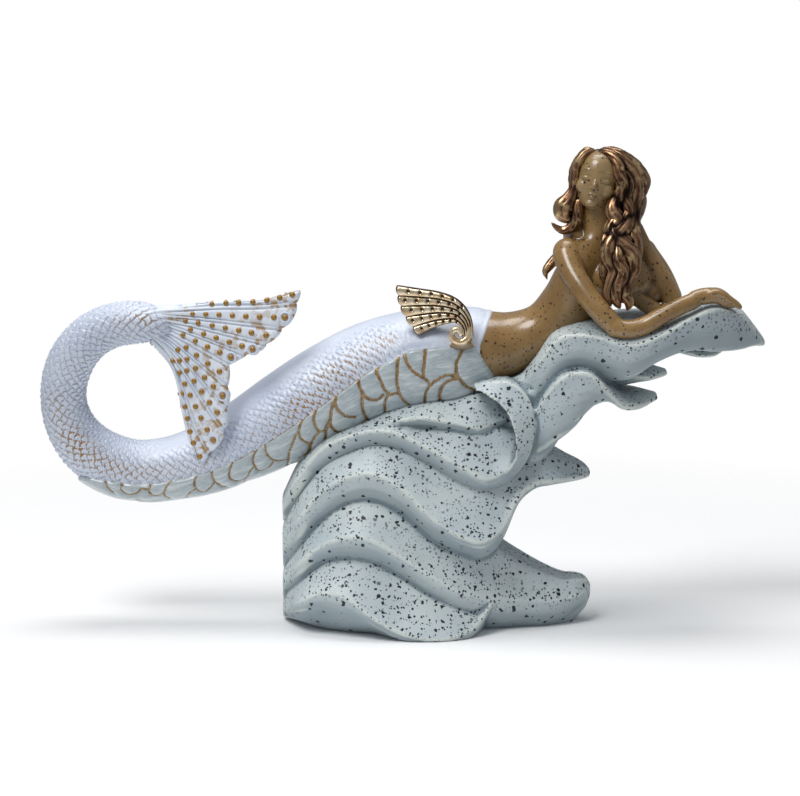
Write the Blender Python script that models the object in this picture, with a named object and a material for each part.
# Mermaid figurine resting on a breaking wave, cast in one piece of resin.
# The origin is on the underside of the wave, near the middle of its foot.
# +X runs from the tail loop to the hands, +Z is up, and the figure shows its side to -Y.
import math

import bmesh
import bpy
import numpy as np
from mathutils import Vector

# Sizes in metres
FIGURE_LENGTH = 0.2995
FIGURE_DEPTH = 0.0819
FIGURE_HEIGHT = 0.1997
# The tables below are drawn in millimetres at these sizes; places follow the figure, thicknesses stay
DRAWN_LENGTH = 299.5
DRAWN_DEPTH = 81.9
DRAWN_HEIGHT = 199.7
MM = 0.001
WAVE_BACK_SHARE = 0.85
WAVE_UNDERCUT = 0.005
WAVE_LIP_SCOOP = 0.58
WAVE_STATION_GAP = 0.0063
CURL_BACK_SHARE = 0.6
TAIL_SIDES = 18
BELLY_RAISE = 0.0012
PLATE_PITCH = 0.0115
PLATE_STEP = 0.0010
PLATE_EDGE_BEFORE = 0.0009
PLATE_EDGE_AFTER = 0.0003
BELLY_END_SLOPE = 0.0004
BELLY_PLAIN_GAP = 0.008
BELLY_SIDES = 8
BELLY_EDGE_WIDTH = 2.5
FLUKE_THICKNESS = 0.0030
FLUKE_RIB_HEIGHT = 0.0010
FLUKE_RIBS = 10
FIN_THICKNESS = 0.0032
FIN_RIB_HEIGHT = 0.0012
FIN_RIBS = 5
SHOULDER_RADIUS = 0.0056
UPPER_ARM_RADIUS = 0.0046
ELBOW_RADIUS = 0.0043
ELBOW_LAP_SHARE = 0.45
WRIST_RADIUS = 0.0028
PALM_WIDTH = 0.0086
PALM_THICKNESS = 0.0046
NECK_RADIUS = 0.0044
NECK_FLARE = 1.3
HEAD_HEIGHT = 0.0215
HEAD_WIDTH = 0.0160
HEAD_DEPTH = 0.0180
NOSE_LENGTH = 0.0014
HAIR_THICKNESS = 0.0024
LOCK_RADIUS = 0.0027
GROUND_CUT_SIZE = 0.400
SHEET_END_TAPER = 0.6
TAIL_STATIONS = 20
TAIL_WAY_STEPS = 400
LIMB_STATIONS = 8
LIMB_SIDES = 10
LOCK_STATIONS = 7
LOCK_SIDES = 6
TRUNK_STATIONS = 14
TRUNK_SIDES = 16
HEAD_SIDES = 14
CURL_STATIONS = 18
SHEET_STATIONS = 12

# Wave folds, each a row of stations from left to right in millimetres:
# x, height of the inner top line, height of the crest, height of the foot, half width at the crest,
# depth of the underside below the foot
FOLDS = {
    "foot_fold": [
        (-49, 8, 6, 3, 9, 2),
        (-43, 20, 13, 7, 27, 5),
        (-32, 31, 19, 10, 36, 11),
        (-22, 35, 18, 8, 40, 10),
        (-11, 33, 10, 5, 43, 7),
        (0, 27, 4, 0, 44, 7),
        (12, 20, 1, -1, 44, 7),
        (24, 15, 2, -1, 41, 7),
        (31, 13, 5, 0, 36, 7),
        (38, 13, 13, 10, 29, 3),
    ],
    "right_lobe": [
        (-49, 21, 18, 12, 9, 3),
        (-43, 32, 28, 20, 25, 7),
        (-32, 47, 38, 30, 32, 7),
        (-22, 55, 42, 33, 36, 7),
        (-11, 57, 41, 32, 38, 7),
        (0, 54, 35, 26, 38, 7),
        (12, 45, 27, 17, 37, 7),
        (25, 38, 19, 9, 34, 7),
        (37, 33, 15, 4, 28, 7),
        (50, 26, 13, 2, 22, 7),
        (60, 21, 12, 1, 19, 7),
        (69, 18, 12, 3, 15, 7),
        (75, 18, 13, 7, 11, 5),
        (79, 17, 14, 10, 5, 3),
    ],
    "middle_fold": [
        (-49, 40, 37, 26, 9, 3),
        (-43, 52, 46, 33, 22, 7),
        (-33, 67, 59, 45, 27, 7),
        (-22, 74, 66, 54, 31, 7),
        (-11, 78, 68, 57, 34, 7),
        (0, 76, 63, 53, 36, 7),
        (14, 69, 50, 42, 38, 7),
        (25, 64, 43, 38, 39, 7),
        (35, 62, 41, 37, 38, 7),
        (43, 64, 47, 43, 33, 5),
        (49, 68, 58, 54, 28, 2),
        (55, 71, 64, 60, 25, 1),
        (63, 70, 65, 61, 22, 0),
        (72, 66, 64, 60, 15, 0),
        (78, 64, 63, 61, 5, 0),
    ],
    "upper_fold": [
        (-49, 53, 51, 45, 8, 3),
        (-43, 65, 63, 53, 18, 7),
        (-33, 77, 76, 65, 22, 7),
        (-22, 83, 82, 73, 25, 7),
        (-6, 88, 85, 77, 28, 7),
        (12, 86, 78, 70, 31, 7),
        (25, 85, 71, 63, 33, 7),
        (36, 84, 66, 61, 33, 7),
        (46, 82, 72, 65, 31, 7),
        (53, 82, 80, 73, 24, 7),
    ],
    "belly_ridge": [
        (-22, 84, 84, 80, 14, 6),
        (-4, 91, 88, 84, 24, 6),
        (9, 94, 90, 86, 27, 6),
        (22, 95, 88, 84, 27, 6),
        (34, 97, 86, 82, 26, 6),
        (43, 96, 89, 84, 20, 6),
    ],
    "wave_core": [
        (22, 92, 86, 60, 10, 4),
        (37, 100, 95, 58, 16, 4),
        (48, 104, 98, 56, 20, 4),
        (58, 109, 100, 60, 21, 4),
        (66, 107, 96, 68, 18, 4),
    ],
    "lower_crest": [
        (54, 88, 85, 64, 12, 6),
        (59, 97, 96, 69, 22, 3),
        (65, 104, 103, 77, 28, 2),
        (71, 109, 109, 86, 31, 2),
        (78, 110, 110, 95, 33, 0),
        (85, 103, 103, 97, 33, 0),
        (91, 98, 96, 93, 29, 0),
        (98, 97, 95, 92, 22, 0),
        (107, 96, 95, 94, 6, 0),
    ],
    "rear_crest": [
        (80, 110, 107, 100, 14, 3),
        (95, 108, 106, 102, 17, 1),
        (105, 107, 105, 103, 12, 0),
        (111, 106, 105, 104, 4, 0),
    ],
    "upper_crest": [
        (42, 98, 95, 78, 10, 7),
        (50, 105, 101, 78, 16, 7),
        (56, 113, 111, 86, 23, 7),
        (62, 122, 121, 93, 29, 7),
        (71, 125, 125, 98, 33, 7),
        (81, 124, 124, 100, 35, 5),
        (93, 121, 121, 105, 36, 2),
        (105, 124, 124, 112, 35, -2),
        (117, 132, 131, 116, 33, -2),
        (128, 136, 135, 115, 30, -2),
        (138, 133, 132, 115, 24, -2),
        (146, 125, 124, 116, 15, -2),
        (151, 119, 118, 116, 6, 0),
    ],
}
# Curled lip under the waist, from its tip over the top to its foot:
# x, z, half thickness, half width, all in millimetres
CURL_ROWS = [
    (25, 99, 1.2, 21),
    (32, 101, 1.8, 26),
    (38, 101, 2.4, 29),
    (44, 99, 3.2, 31),
    (49, 95, 3.8, 32),
    (51, 88, 4.0, 33),
    (51, 80, 3.8, 33),
    (49, 74, 3.3, 33),
    (44, 68, 2.6, 33),
    (37, 65, 2.0, 32),
]
# Tail from the hips round the loop to the root of the flukes: x, y, z, radius in millimetres
TAIL_ROWS = [
    (38, 0, 115, 15),
    (30, 0, 114, 18.5),
    (20, 0, 111.5, 21),
    (6, 0, 109.4, 21.4),
    (-10, 0, 105.5, 21),
    (-28, 0, 97.5, 20),
    (-46, 0, 87.5, 18.5),
    (-64, 0, 77.5, 16),
    (-80, 0, 69.5, 14),
    (-96, 0, 65, 12.5),
    (-110, -0.5, 64, 12),
    (-122, -1, 67.5, 11.5),
    (-131, -2, 74, 10.8),
    (-137, -3.5, 83, 9.7),
    (-139.5, -5, 93, 9),
    (-138.5, -6.5, 104, 9),
    (-134, -8, 114, 9),
    (-127, -9.5, 121.5, 8.8),
    (-118, -11, 126, 8.6),
    (-109, -12.5, 127.5, 8.8),
    (-101, -14, 127.3, 8),
    (-93, -15, 126, 5),
    (-85, -16, 124.5, 2.4),
]
# Belly strip: where it starts and ends along the tail, and the angles of its two edges
BELLY_START = 0.010
BELLY_END = 0.176
BELLY_EDGE_AT_HIP = 4.0
BELLY_EDGE_AT_LOOP = -38.0
BELLY_SPREAD = 118.0
# Flukes: root line, two side edges and the free margin between them: x, y, z in millimetres
FLUKE_TOP_EDGE = [(-99, -13, 133), (-88, -15, 134), (-72, -16, 136), (-57, -16.5, 137), (-41, -17, 141.5)]
FLUKE_LOW_EDGE = [(-102, -13, 119), (-98, -15.5, 112), (-92, -17, 99), (-89.5, -17, 84), (-82, -14.5, 69.5)]
FLUKE_MARGIN = [
    (-41, -17, 141.5),
    (-41.5, -18, 133),
    (-48, -19, 125),
    (-56, -19.5, 117.5),
    (-69, -19, 110.5),
    (-70, -19.5, 97),
    (-72, -19, 83),
    (-76, -16.5, 75),
    (-82, -14.5, 69.5),
]
# Hip fin: outer and inner rails from the hip to the free edge: x, y, z in millimetres
FIN_OUTER = [
    (27.5, -14, 114),
    (30.5, -20, 124),
    (29.5, -20.5, 132),
    (24, -20, 138.5),
    (15, -19, 141.5),
    (5, -18.5, 143),
    (-2.5, -18, 143.5),
]
FIN_INNER = [
    (21, -14, 114),
    (22.5, -19, 121),
    (23.5, -19, 125),
    (20.5, -17.5, 127),
    (15.5, -16.5, 127),
    (10.5, -16, 125.5),
    (3.5, -16.5, 123.5),
]
# Trunk: x, y, z, half width, half depth in millimetres, and the turn of the shoulders in degrees
TRUNK_ROWS = [
    (22, 0, 112.5, 19, 18, 0),
    (36, 0, 115, 17, 15.8, 0),
    (48, 0, 117.5, 14, 13, 6),
    (60, -1, 123, 12.5, 11.5, 16),
    (70, -2, 134, 14, 12, 28),
    (76, -3, 145, 17, 12, 42),
    (82, -2, 153, 20, 9.5, 54),
    (84, -1, 159, 16, 6.5, 56),
    (84, -1, 162, 8, 5, 56),
]
# Limbs: x, y, z in millimetres
NEAR_ARM = [(70, -13, 156.5), (72, -19, 147), (77.5, -25, 138), (86, -30, 129.5)]
NEAR_FOREARM = [(86, -30, 129.5), (97, -31, 128.5), (110, -30, 134), (122, -27, 140.5)]
NEAR_HAND = [(120, -27, 140), (127, -26.5, 141.5), (133, -26, 139), (138.5, -25.5, 134)]
FAR_ARM = [(101, 9, 154.5), (108, 3, 146), (113.5, -7, 135)]
FAR_FOREARM = [(113.5, -8, 135), (106, -7, 147), (100.5, -4, 157), (97.5, -1, 168)]
FAR_HAND = [(98, -1, 167), (97.5, 0, 173), (95, 1, 178), (91, 2, 182)]
NECK = [(83, -1, 158), (82.5, -1.5, 168), (82, -2.5, 176)]
HEAD_CENTRE = (81.5, -4.5, 185.5)
HEAD_LEAN = 7.0
BUSTS = [(98, -8, 138.5, 9.0), (86, -17, 142, 8.5)]
# Place of the hair cap from the middle of the head: to the right, back and up
HAIR_CAP_OFFSET = (1.0, 4.0, 2.2)
# Mass of hair behind the neck, under the right-hand locks
HAIR_CORE = (90.5, -1, 170)
HAIR_CORE_RADII = (7.5, 11.5, 15)
# Hair locks: x, y, z in millimetres, then the share of the lock radius along the way
HAIR_LOCKS = [
    [(80, -6, 196.5, 0.9), (75, -10, 192, 1.1), (72, -9, 184, 1.2), (71, -8, 176, 1.0),
     (67.5, -6, 169.5, 0.4)],
    [(78, -2, 196.5, 0.9), (73, -3, 189, 1.2), (71, -3, 179, 1.3), (67, -3, 173, 1.1), (63, -4, 166, 0.5)],
    [(83, -7, 197.5, 0.9), (89, -11, 192, 1.1), (92, -10, 184, 1.2), (91, -9, 174, 1.2), (90, -12, 164, 1.0)],
    [(90, -9, 172, 1.1), (86, -14, 165, 1.3), (88.5, -18, 157, 1.3), (85.5, -21, 149, 1.1),
     (88, -23, 140, 0.4)],
    [(93, -8, 174, 1.1), (90, -13, 166, 1.3), (92, -18, 158, 1.4), (89, -22, 148, 1.2), (93, -24, 138, 1.0),
     (91, -25, 132, 0.4)],
    [(93, -5, 176, 1.1), (94.5, -10, 166, 1.3), (94, -15, 157, 1.3), (97, -17, 148, 1.1),
     (95, -19, 140, 0.4)],
    [(86, -4, 197.5, 0.9), (94, -4, 193, 1.3), (99.5, -2, 185, 1.4), (100, 0, 177, 1.2), (97, 1, 169, 0.5)],
    [(84, 3, 196.5, 1.0), (90, 10, 190, 1.5), (93, 13, 180, 1.6), (90, 13, 169, 1.5), (84, 12, 158, 0.6)],
    [(80, 3, 196, 1.0), (80, 11, 189.5, 1.5), (82, 14, 179, 1.6), (80, 13, 168, 1.5), (74, 12, 157, 1.2),
     (67, 10, 149, 0.5)],
    [(77, 1, 195, 1.0), (73.5, 7, 186, 1.4), (74, 10, 176, 1.5), (72, 10, 166, 1.3), (66, 9, 157, 1.0),
     (60, 8, 147, 0.4)],
    [(90, 2, 195, 1.0), (97, 6, 187, 1.5), (99, 8, 178, 1.4), (95, 9, 167, 1.2), (92, 9, 158, 0.5)],
]


def spline(rows, count, position_columns=3):
    """A smooth run of rows through the control rows, evenly spaced along the way."""
    points = np.array(rows, float)
    steps = np.linalg.norm(np.diff(points[:, :position_columns], axis=0), axis=1)
    way = np.concatenate([[0.0], np.cumsum(steps)])
    slopes = np.gradient(points, way, axis=0)
    stations = np.linspace(0.0, way[-1], count)
    first = np.clip(np.searchsorted(way, stations, side="right") - 1, 0, len(way) - 2)
    span = (way[first + 1] - way[first])[:, None]
    u = (stations - way[first])[:, None] / span
    start = (2 * u**3 - 3 * u**2 + 1) * points[first] + (u**3 - 2 * u**2 + u) * span * slopes[first]
    end = (3 * u**2 - 2 * u**3) * points[first + 1] + (u**3 - u**2) * span * slopes[first + 1]
    return start + end


def placed(rows, pattern):
    """Table rows in metres. Each letter of the pattern is a column: x, y or z for a place along the
    length, depth or height of the figure, t for a thickness and a for an angle."""
    units = {
        "x": FIGURE_LENGTH / DRAWN_LENGTH,
        "y": FIGURE_DEPTH / DRAWN_DEPTH,
        "z": FIGURE_HEIGHT / DRAWN_HEIGHT,
        "t": MM,
        "a": 1.0,
    }
    return np.array(rows, float) * [units[letter] for letter in pattern]


def clear_scene():
    for obj in list(bpy.data.objects):
        bpy.data.objects.remove(obj, do_unlink=True)


def form_collection():
    """The forms that are joined into the casting lie in one collection."""
    forms = bpy.data.collections.new("forms")
    bpy.context.scene.collection.children.link(forms)
    return forms


def loft(name, rings, forms):
    """One closed body through a row of rings that have the same number of points."""
    bm = bmesh.new()
    rows = [[bm.verts.new(point) for point in ring] for ring in rings]
    sides = len(rows[0])
    for near, far in zip(rows[:-1], rows[1:]):
        for i in range(sides):
            j = (i + 1) % sides
            bm.faces.new((near[i], near[j], far[j], far[i]))
    for row in (rows[0], rows[-1]):
        centre = bm.verts.new(sum((vert.co for vert in row), Vector()) / sides)
        for i in range(sides):
            bm.faces.new((row[i], row[(i + 1) % sides], centre))
    bmesh.ops.recalc_face_normals(bm, faces=bm.faces)
    return add_form(name, bm, forms)


def add_form(name, bm, forms):
    mesh = bpy.data.meshes.new(name)
    bm.to_mesh(mesh)
    bm.free()
    obj = bpy.data.objects.new(name, mesh)
    forms.objects.link(obj)
    obj.hide_render = True
    obj.display_type = "WIRE"
    return obj


def wave_ring(x, top, crest, foot, half_width, bury):
    """Section of a fold: a sloping top, a crest that overhangs, and a foot that the fold below hides."""
    inner = max(half_width - WAVE_UNDERCUT, half_width * 0.6)
    scooped = top * (1 - WAVE_LIP_SCOOP) + crest * WAVE_LIP_SCOOP
    half = [
        (0.0, top + half_width * 0.05),
        (0.40, top + half_width * 0.03),
        (0.72, top),
        (0.87, scooped),
        (1.0, crest),
        (1.0 - 0.3 * (1 - inner / half_width), (crest + 2 * foot) / 3),
        (inner / half_width, foot),
        (0.7 * inner / half_width, foot - bury * 0.8),
        (0.0, foot - bury),
    ]
    front = [Vector((x, -share * half_width, z)) for share, z in half]
    back = [Vector((x, share * half_width * WAVE_BACK_SHARE, z)) for share, z in half[1:-1]]
    return front + back[::-1]


def add_folds(forms):
    for name, rows in FOLDS.items():
        fold = placed(rows, "xzzzyz")
        count = round((fold[-1][0] - fold[0][0]) / WAVE_STATION_GAP) + 1
        stations = spline(fold, count, position_columns=1)
        loft(name, [wave_ring(*row) for row in stations], forms)


def add_curl(forms):
    """The lip that breaks forward under the waist, hollow towards the tail."""
    rows = spline(placed(CURL_ROWS, "xzty"), CURL_STATIONS, position_columns=2)
    ways = np.gradient(rows[:, :2], axis=0)
    rings = []
    for (x, z, half, width), (dx, dz) in zip(rows, ways):
        length = math.hypot(dx, dz)
        out_x = dz / length * half
        out_z = -dx / length * half
        ring = []
        for y, thin in ((-1.0, 0.35), (-0.9, 1.0), (0.0, 1.0), (0.9 * CURL_BACK_SHARE, 1.0)):
            ring.append(Vector((x - out_x * thin, y * width, z - out_z * thin)))
        for y, thin in ((0.9 * CURL_BACK_SHARE, 1.0), (0.0, 1.0), (-0.9, 1.0), (-1.0, 0.35)):
            ring.append(Vector((x + out_x * thin, y * width, z + out_z * thin)))
        rings.append(ring)
    loft("curled_lip", rings, forms)


def belly_raise(distance, angle):
    """How far the tail stands out at a place: the belly strip with its overlapping plates."""
    if not BELLY_START < distance < BELLY_END:
        return 0.0
    share = (distance - BELLY_START) / (BELLY_END - BELLY_START)
    edge = BELLY_EDGE_AT_HIP + (BELLY_EDGE_AT_LOOP - BELLY_EDGE_AT_HIP) * share
    if not edge - BELLY_SPREAD < angle < edge:
        return 0.0
    place = ((distance - BELLY_START) / PLATE_PITCH) % 1.0
    return BELLY_RAISE + PLATE_STEP * place


def tail_rings():
    """Rings of the tail, with stations before and behind each step of the belly plates."""
    fine = spline(placed(TAIL_ROWS, "xyzt"), TAIL_WAY_STEPS)
    way = np.concatenate([[0.0], np.cumsum(np.linalg.norm(np.diff(fine[:, :3], axis=0), axis=1))])
    plates = int((BELLY_END - BELLY_START) / PLATE_PITCH)
    steps = [BELLY_START + (i + 1) * PLATE_PITCH for i in range(plates)]
    places = [0.0]
    places += [end + side for end in (BELLY_START, BELLY_END) for side in (-BELLY_END_SLOPE, BELLY_END_SLOPE)]
    places += [step + side for step in steps for side in (-PLATE_EDGE_BEFORE, PLATE_EDGE_AFTER)]
    places += list(np.linspace(BELLY_END + BELLY_PLAIN_GAP, way[-1], TAIL_STATIONS))
    places = sorted(place for place in places if 0.0 <= place <= way[-1])
    ways = np.gradient(fine[:, :3], axis=0)
    rings = []
    for place in places:
        x, y, z, radius = (np.interp(place, way, fine[:, k]) for k in range(4))
        along = Vector([float(np.interp(place, way, ways[:, k])) for k in range(3)]).normalized()
        front = Vector((0, -1, 0))
        front = (front - along * front.dot(along)).normalized()
        rings.append(tail_ring(Vector((x, y, z)), front, along.cross(front), radius, place))
    return rings


def tail_ring(centre, front, above, radius, place):
    share = min(max((place - BELLY_START) / (BELLY_END - BELLY_START), 0.0), 1.0)
    edge = BELLY_EDGE_AT_HIP + (BELLY_EDGE_AT_LOOP - BELLY_EDGE_AT_HIP) * share
    low_edge = edge - BELLY_SPREAD
    inside = np.linspace(edge - BELLY_EDGE_WIDTH, low_edge + BELLY_EDGE_WIDTH, BELLY_SIDES)
    round_again = edge - 360 + BELLY_EDGE_WIDTH
    outside = np.linspace(low_edge - BELLY_EDGE_WIDTH, round_again, TAIL_SIDES - BELLY_SIDES)
    ring = []
    for angle in np.concatenate([inside, outside]):
        raised = belly_raise(place, angle) if angle > low_edge else 0.0
        turn = math.radians(angle)
        ring.append(centre + (front * math.cos(turn) + above * math.sin(turn)) * (radius + raised))
    return ring


def swept(name, rows, count, sides, forms, thin=1.0):
    """A tapered limb: rows of x, y, z and radius, flattened across by the share thin."""
    stations = spline(rows, count)
    ways = np.gradient(stations[:, :3], axis=0)
    rings = []
    side = None
    for row, way in zip(stations, ways):
        along = Vector(way).normalized()
        if side is None:
            side = along.cross(Vector((0.1, -1.0, 0.2))).normalized()
        side = (side - along * side.dot(along)).normalized()
        other = along.cross(side)
        ring = []
        for i in range(sides):
            turn = 2 * math.pi * i / sides
            offset = side * math.cos(turn) * thin + other * math.sin(turn)
            ring.append(Vector(row[:3]) + offset * row[3])
        rings.append(ring)
    return loft(name, rings, forms)


def add_tail(forms):
    loft("tail", tail_rings(), forms)


def ribbed_sheet(name, rails, thickness, near_rib, far_rib, forms):
    """A sheet across a fan of rails, where every second rail is raised as a rib."""
    columns = len(rails)
    rows = len(rails[0])
    bm = bmesh.new()
    faces_near = []
    faces_far = []
    for j, rail in enumerate(rails):
        near_raise = thickness / 2 + (near_rib if j % 2 else 0.0)
        far_raise = thickness / 2 + (far_rib if j % 2 else 0.0)
        near = []
        far = []
        for i, point in enumerate(rail):
            taper = 1.0 if 0 < i < rows - 1 else SHEET_END_TAPER
            near.append(bm.verts.new(Vector(point) + Vector((0, -near_raise * taper, 0))))
            far.append(bm.verts.new(Vector(point) + Vector((0, far_raise * taper, 0))))
        faces_near.append(near)
        faces_far.append(far)
    for j in range(columns - 1):
        for i in range(rows - 1):
            for face in (faces_near, faces_far):
                bm.faces.new((face[j][i], face[j][i + 1], face[j + 1][i + 1], face[j + 1][i]))
    for j in (0, columns - 1):
        for i in range(rows - 1):
            bm.faces.new((faces_near[j][i], faces_far[j][i], faces_far[j][i + 1], faces_near[j][i + 1]))
    for i in (0, rows - 1):
        for j in range(columns - 1):
            bm.faces.new((faces_near[j][i], faces_near[j + 1][i], faces_far[j + 1][i], faces_far[j][i]))
    bmesh.ops.recalc_face_normals(bm, faces=bm.faces)
    return add_form(name, bm, forms)


def add_flukes(forms):
    """The fan of the flukes: rails that start at the root and spread to the margin."""
    count = 2 * FLUKE_RIBS + 1
    top = spline(placed(FLUKE_TOP_EDGE, "xyz"), SHEET_STATIONS)
    low = spline(placed(FLUKE_LOW_EDGE, "xyz"), SHEET_STATIONS)
    margin = spline(placed(FLUKE_MARGIN, "xyz"), count)
    rails = []
    for j in range(count):
        share = j / (count - 1)
        root = top[0] * (1 - share) + low[0] * share
        reach = np.linalg.norm(margin[j] - root)
        start = (top[3] - top[0]) * (1 - share) + (low[3] - low[0]) * share
        start = start / np.linalg.norm(start) * reach
        finish = (margin[j] - root) * (1.25 - 0.5 * abs(share - 0.5))
        rail = []
        for u in np.linspace(0.0, 1.0, SHEET_STATIONS):
            inner = (2 * u**3 - 3 * u**2 + 1) * root + (u**3 - 2 * u**2 + u) * start
            rail.append(inner + (3 * u**2 - 2 * u**3) * margin[j] + (u**3 - u**2) * finish)
        edge_blend = max(0.0, 1 - share * 6)
        low_blend = max(0.0, 1 - (1 - share) * 6)
        rail = np.array(rail) * (1 - edge_blend - low_blend) + top * edge_blend + low * low_blend
        rails.append(rail)
    ribbed_sheet("flukes", rails, FLUKE_THICKNESS, FLUKE_RIB_HEIGHT, FLUKE_RIB_HEIGHT, forms)


def add_hip_fin(forms):
    """The fin on the near hip: rails from inside the tail to its free end, between its two edges."""
    count = 2 * FIN_RIBS + 1
    outer = spline(placed(FIN_OUTER, "xtz"), SHEET_STATIONS)
    inner = spline(placed(FIN_INNER, "xtz"), SHEET_STATIONS)
    rails = [outer * (1 - j / (count - 1)) + inner * j / (count - 1) for j in range(count)]
    ribbed_sheet("hip_fin", rails, FIN_THICKNESS, FIN_RIB_HEIGHT, 0.0, forms)


def add_trunk(forms):
    stations = spline(placed(TRUNK_ROWS, "xyztta"), TRUNK_STATIONS)
    ways = np.gradient(stations[:, :3], axis=0)
    rings = []
    for (x, y, z, wide, deep, turn), way in zip(stations, ways):
        along = Vector(way).normalized()
        side = Vector((-math.sin(math.radians(turn)), -math.cos(math.radians(turn)), 0))
        side = (side - along * side.dot(along)).normalized()
        front = along.cross(side)
        ring = []
        for i in range(TRUNK_SIDES):
            angle = 2 * math.pi * i / TRUNK_SIDES
            ring.append(Vector((x, y, z)) + side * math.cos(angle) * wide + front * math.sin(angle) * deep)
        rings.append(ring)
    loft("trunk", rings, forms)


def with_radii(points, radii):
    return np.column_stack([placed(points, "xyz"), radii])


def from_inside(rows):
    """The rows of a forearm, with the first moved back into the upper arm by a share of the elbow."""
    back = rows[0, :3] - rows[1, :3]
    rows[0, :3] += back / np.linalg.norm(back) * ELBOW_LAP_SHARE * ELBOW_RADIUS
    return rows


def add_arms(forms):
    upper = (UPPER_ARM_RADIUS + ELBOW_RADIUS) / 2
    lower = (ELBOW_RADIUS + WRIST_RADIUS) / 2
    forearm = (ELBOW_RADIUS, ELBOW_RADIUS, lower, WRIST_RADIUS)
    palm = (WRIST_RADIUS, PALM_WIDTH / 2, PALM_WIDTH / 2, WRIST_RADIUS / 2)
    thin = PALM_THICKNESS / PALM_WIDTH
    limbs = {
        "near_upper_arm": (NEAR_ARM, (SHOULDER_RADIUS, UPPER_ARM_RADIUS, upper, ELBOW_RADIUS), 1.0),
        "near_forearm": (NEAR_FOREARM, forearm, 1.0),
        "near_hand": (NEAR_HAND, palm, thin),
        "far_upper_arm": (FAR_ARM, (SHOULDER_RADIUS, UPPER_ARM_RADIUS, ELBOW_RADIUS), 1.0),
        "far_forearm": (FAR_FOREARM, forearm, 1.0),
        "far_hand": (FAR_HAND, palm, thin),
    }
    for name, (points, radii, flat) in limbs.items():
        rows = with_radii(points, radii)
        if name.endswith("forearm"):
            rows = from_inside(rows)
        swept(name, rows, LIMB_STATIONS, LIMB_SIDES, forms, flat)


def add_neck(forms):
    """The neck ends in the middle of the head."""
    radii = (NECK_RADIUS * NECK_FLARE, NECK_RADIUS, NECK_RADIUS, NECK_RADIUS)
    swept("neck", with_radii([*NECK, HEAD_CENTRE], radii), LIMB_STATIONS, LIMB_SIDES, forms)


def add_head(forms):
    """Rings from the chin to the crown: height share, width share, depth share, place forward."""
    shape = [
        (0.00, 0.22, 0.22, 0.42),
        (0.06, 0.42, 0.42, 0.30),
        (0.16, 0.64, 0.66, 0.17),
        (0.30, 0.84, 0.86, 0.06),
        (0.42, 0.93, 0.95, 0.03),
        (0.55, 0.98, 1.00, 0.00),
        (0.70, 0.98, 1.00, -0.02),
        (0.84, 0.84, 0.88, -0.03),
        (0.94, 0.56, 0.60, -0.03),
        (1.00, 0.24, 0.26, -0.03),
    ]
    nose = {3: 0.85, 4: 1.0, 5: 0.35}
    lean = math.tan(math.radians(HEAD_LEAN))
    centre = Vector(placed(HEAD_CENTRE, "xyz"))
    rings = []
    for k, (up, wide, deep, forward) in enumerate(shape):
        z = (up - 0.5) * HEAD_HEIGHT
        ring = []
        for i in range(HEAD_SIDES):
            angle = 2 * math.pi * i / HEAD_SIDES
            reach = deep * HEAD_DEPTH / 2 + (NOSE_LENGTH * nose.get(k, 0.0) if i == 0 else 0.0)
            offset = Vector((math.sin(angle) * wide * HEAD_WIDTH / 2 + z * lean, -math.cos(angle) * reach, z))
            ring.append(centre + offset + Vector((0, -forward * HEAD_DEPTH / 2, 0)))
        rings.append(ring)
    loft("head", rings, forms)


def add_ball(name, centre, radii, forms):
    bm = bmesh.new()
    bmesh.ops.create_uvsphere(bm, u_segments=12, v_segments=8, radius=1.0)
    for vert in bm.verts:
        vert.co = Vector((centre[k] + vert.co[k] * radii[k] for k in range(3)))
    bmesh.ops.recalc_face_normals(bm, faces=bm.faces)
    return add_form(name, bm, forms)


def add_chest(forms):
    for i, (x, y, z, radius) in enumerate(placed(BUSTS, "xyzt")):
        add_ball(f"chest_form_{i}", (x, y, z), (radius, radius, radius), forms)


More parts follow.
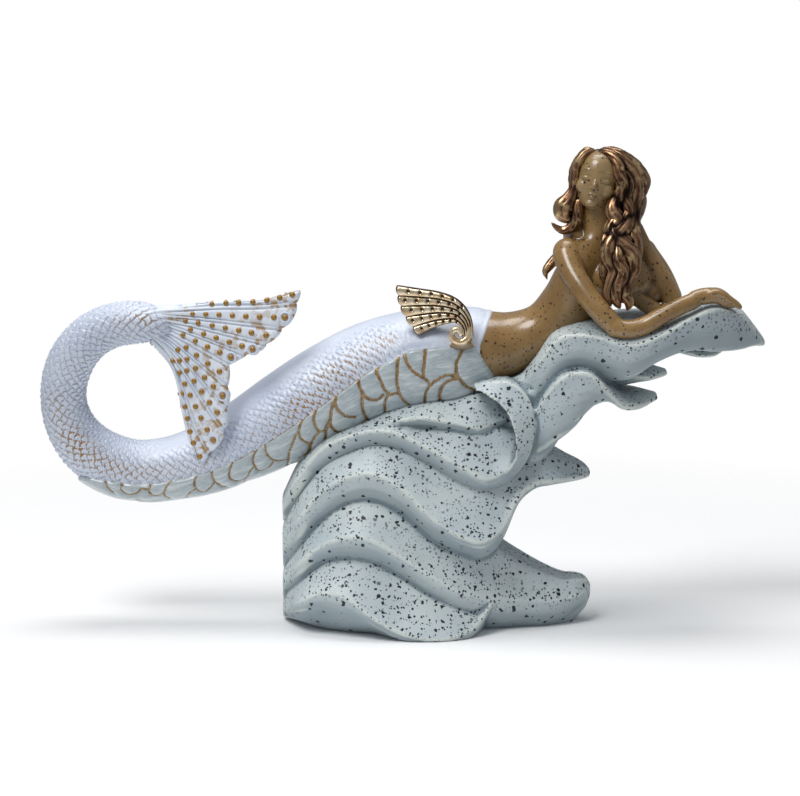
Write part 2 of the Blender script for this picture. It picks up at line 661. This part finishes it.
def add_hair(forms):
    """A cap that wraps the back of the head, and locks that hang from it."""
    half_head = (HEAD_WIDTH / 2, HEAD_DEPTH / 2, HEAD_HEIGHT / 2)
    centre = placed(HEAD_CENTRE, "xyz") + placed(HAIR_CAP_OFFSET, "ttt")
    radii = [half + HAIR_THICKNESS * share for half, share in zip(half_head, (1.0, 0.5, 0.5))]
    add_ball("hair_cap", centre, radii, forms)
    add_ball("hair_core", placed(HAIR_CORE, "xyz"), placed(HAIR_CORE_RADII, "ttt"), forms)
    for i, rows in enumerate(HAIR_LOCKS):
        places = placed([row[:3] for row in rows], "xyz")
        radii = [row[3] * LOCK_RADIUS for row in rows]
        swept(f"hair_lock_{i}", np.column_stack([places, radii]), LOCK_STATIONS, LOCK_SIDES, forms)


def ground_cutter():
    """A block below the ground plane, which leaves the wave a flat foot."""
    bm = bmesh.new()
    bmesh.ops.create_cube(bm, size=GROUND_CUT_SIZE)
    mesh = bpy.data.meshes.new("ground_cutter")
    bm.to_mesh(mesh)
    bm.free()
    obj = bpy.data.objects.new("ground_cutter", mesh)
    bpy.context.scene.collection.objects.link(obj)
    obj.location.z = -GROUND_CUT_SIZE / 2
    obj.hide_render = True
    obj.display_type = "WIRE"
    return obj


def resin_material():
    material = bpy.data.materials.new("painted_resin")
    material.use_nodes = True
    shader = material.node_tree.nodes["Principled BSDF"]
    shader.inputs["Base Color"].default_value = (0.60, 0.66, 0.72, 1.0)
    shader.inputs["Roughness"].default_value = 0.35
    shader.inputs["Metallic"].default_value = 0.0
    return material


def add_figurine(forms, cutter):
    """The casting: the trunk joined with every other form and cut flat at the ground."""
    trunk = forms.objects["trunk"]
    forms.objects.unlink(trunk)
    bpy.context.scene.collection.objects.link(trunk)
    trunk.name = "mermaid_figurine"
    trunk.hide_render = False
    trunk.display_type = "SOLID"
    trunk.data.materials.append(resin_material())
    join = trunk.modifiers.new("join", "BOOLEAN")
    join.operation = "UNION"
    join.operand_type = "COLLECTION"
    join.collection = forms
    join.solver = "EXACT"
    cut = trunk.modifiers.new("flat_foot", "BOOLEAN")
    cut.operation = "DIFFERENCE"
    cut.object = cutter
    cut.solver = "EXACT"
    trunk.data.shade_smooth()
    return trunk


clear_scene()
forms = form_collection()
add_folds(forms)
add_curl(forms)
add_tail(forms)
add_flukes(forms)
add_hip_fin(forms)
add_trunk(forms)
add_arms(forms)
add_neck(forms)
add_head(forms)
add_chest(forms)
add_hair(forms)
add_figurine(forms, ground_cutter())
